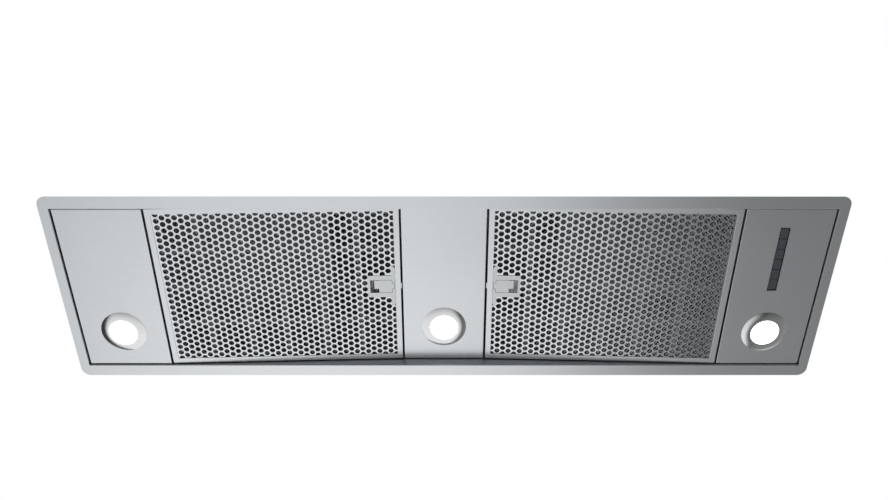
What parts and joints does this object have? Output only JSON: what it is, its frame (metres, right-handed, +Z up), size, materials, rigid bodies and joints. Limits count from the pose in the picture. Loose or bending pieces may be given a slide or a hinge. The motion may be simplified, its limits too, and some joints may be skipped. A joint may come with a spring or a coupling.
{
  "type": "recessed range hood",
  "caption": "Built-in extractor hood: long fascia with swinging perforated grease filters, round lamps, push buttons, a plenum, a centrifugal blower and a round outlet.",
  "frame": {"origin": "centre of the fascia's underside, its lowest face", "axes": "+X along the fascia, +Y away from the cook, +Z up into the ceiling"},
  "size_m": [1.2, 0.32, 0.35],
  "materials": {
    "satin_stainless": "satin brushed stainless steel",
    "galvanised_steel": "galvanised sheet",
    "perforated_stainless": "punched stainless sheet",
    "expanded_aluminium": "expanded mesh",
    "latch_zinc": "die-cast, silver lacquer",
    "lamp_ring": "satin turned ring",
    "lamp_glass": "opal diffuser",
    "lamp_sink": "anodised heat sink",
    "button_grey": "moulded keys",
    "black_plastic": "moulded housing",
    "fan_plastic": "moulded impeller",
    "motor_black": "painted motor shell",
    "shaft_steel": "ground steel",
    "circuit_board": "glass-fibre board",
    "zinc_screw": "zinc plated",
    "white_plastic": "moulded block"
  },
  "bodies": {
    "hood_body": {"fascia_frame": "satin_stainless", "left_end_panel": "satin_stainless", "right_end_panel": "satin_stainless", "centre_panel": "satin_stainless", "panel_spacers": "black_plastic", "plenum_box": "galvanised_steel", "right_bulkhead": "galvanised_steel", "left_bulkhead": "galvanised_steel", "fascia_screws": "zinc_screw", "blower_casing": "galvanised_steel", "casing_screws": "zinc_screw", "outlet_collar": "black_plastic", "damper_axle": "shaft_steel", "scroll_housing": "galvanised_steel", "inlet_rings": "galvanised_steel", "blower_motor": "motor_black", "motor_bracket": "galvanised_steel", "lamp_clips": "shaft_steel", "button_frame": "black_plastic", "switch_board": "circuit_board", "control_box": "galvanised_steel", "control_box_cover": "galvanised_steel", "control_board": "circuit_board", "lamp_driver": "white_plastic", "terminal_block": "white_plastic", "run_capacitor": "motor_black", "cable_gland": "black_plastic", "left_lamp_bezel": "lamp_ring", "left_lamp_lens": "lamp_glass", "left_lamp_heat_sink": "lamp_sink", "centre_lamp_bezel": "lamp_ring", "centre_lamp_lens": "lamp_glass", "centre_lamp_heat_sink": "lamp_sink", "right_lamp_bezel": "lamp_ring", "right_lamp_lens": "lamp_glass", "right_lamp_heat_sink": "lamp_sink"},
    "left_filter": {"left_filter_frame": "satin_stainless", "left_hinge_pins": "shaft_steel", "left_filter_grille": "perforated_stainless", "left_filter_mesh": "expanded_aluminium", "left_filter_back_grille": "galvanised_steel", "left_latch_housing": "latch_zinc"},
    "left_latch": {"left_latch_slider": "latch_zinc"},
    "right_filter": {"right_filter_frame": "satin_stainless", "right_hinge_pins": "shaft_steel", "right_filter_grille": "perforated_stainless", "right_filter_mesh": "expanded_aluminium", "right_filter_back_grille": "galvanised_steel", "right_latch_housing": "latch_zinc"},
    "right_latch": {"right_latch_slider": "latch_zinc"},
    "button_1_key": {"button_1": "button_grey"},
    "button_2_key": {"button_2": "button_grey"},
    "button_3_key": {"button_3": "button_grey"},
    "button_4_key": {"button_4": "button_grey"},
    "button_5_key": {"button_5": "button_grey"},
    "button_6_key": {"button_6": "button_grey"},
    "fan_wheel": {"impeller": "fan_plastic", "motor_shaft": "shaft_steel"},
    "left_flap": {"left_damper_flap": "fan_plastic"},
    "right_flap": {"right_damper_flap": "fan_plastic"}
  },
  "joints": [
    {"name": "left_filter_swing", "type": "hinge", "parent": "hood_body", "child": "left_filter", "pos_m": [-0.44313, 0, 0.00763], "axis": [0, 1, 0], "range_deg": [0, 60]},
    {"name": "left_latch_slide", "type": "slide", "parent": "left_filter", "child": "left_latch", "axis": [-0.9993, 0, -0.037], "range_m": [0, 0.006], "stiffness_N_per_m": 300, "springref_m": -0.003},
    {"name": "right_filter_swing", "type": "hinge", "parent": "hood_body", "child": "right_filter", "pos_m": [0.44313, 0, 0.00763], "axis": [0, -1, 0], "range_deg": [0, 60]},
    {"name": "right_latch_slide", "type": "slide", "parent": "right_filter", "child": "right_latch", "axis": [0.9993, 0, -0.037], "range_m": [0, 0.006], "stiffness_N_per_m": 300, "springref_m": -0.003},
    {"name": "button_1_press", "type": "slide", "parent": "hood_body", "child": "button_1_key", "axis": [0, 0, 1], "range_m": [0, 0.0015], "stiffness_N_per_m": 300, "springref_m": -0.002},
    {"name": "button_2_press", "type": "slide", "parent": "hood_body", "child": "button_2_key", "axis": [0, 0, 1], "range_m": [0, 0.0015], "stiffness_N_per_m": 300, "springref_m": -0.002},
    {"name": "button_3_press", "type": "slide", "parent": "hood_body", "child": "button_3_key", "axis": [0, 0, 1], "range_m": [0, 0.0015], "stiffness_N_per_m": 300, "springref_m": -0.002},
    {"name": "button_4_press", "type": "slide", "parent": "hood_body", "child": "button_4_key", "axis": [0, 0, 1], "range_m": [0, 0.0015], "stiffness_N_per_m": 300, "springref_m": -0.002},
    {"name": "button_5_press", "type": "slide", "parent": "hood_body", "child": "button_5_key", "axis": [0, 0, 1], "range_m": [0, 0.0015], "stiffness_N_per_m": 300, "springref_m": -0.002},
    {"name": "button_6_press", "type": "slide", "parent": "hood_body", "child": "button_6_key", "axis": [0, 0, 1], "range_m": [0, 0.0015], "stiffness_N_per_m": 300, "springref_m": -0.002},
    {"name": "impeller_spin", "type": "hinge", "parent": "hood_body", "child": "fan_wheel", "pos_m": [0, -0.045, 0.19667], "axis": [1, 0, 0], "continuous": true},
    {"name": "left_flap_open", "type": "hinge", "parent": "hood_body", "child": "left_flap", "pos_m": [0, 0, 0.32], "axis": [0, 1, 0], "range_deg": [0, 75]},
    {"name": "right_flap_open", "type": "hinge", "parent": "hood_body", "child": "right_flap", "pos_m": [0, 0, 0.32], "axis": [0, -1, 0], "range_deg": [0, 75]}
  ]
}
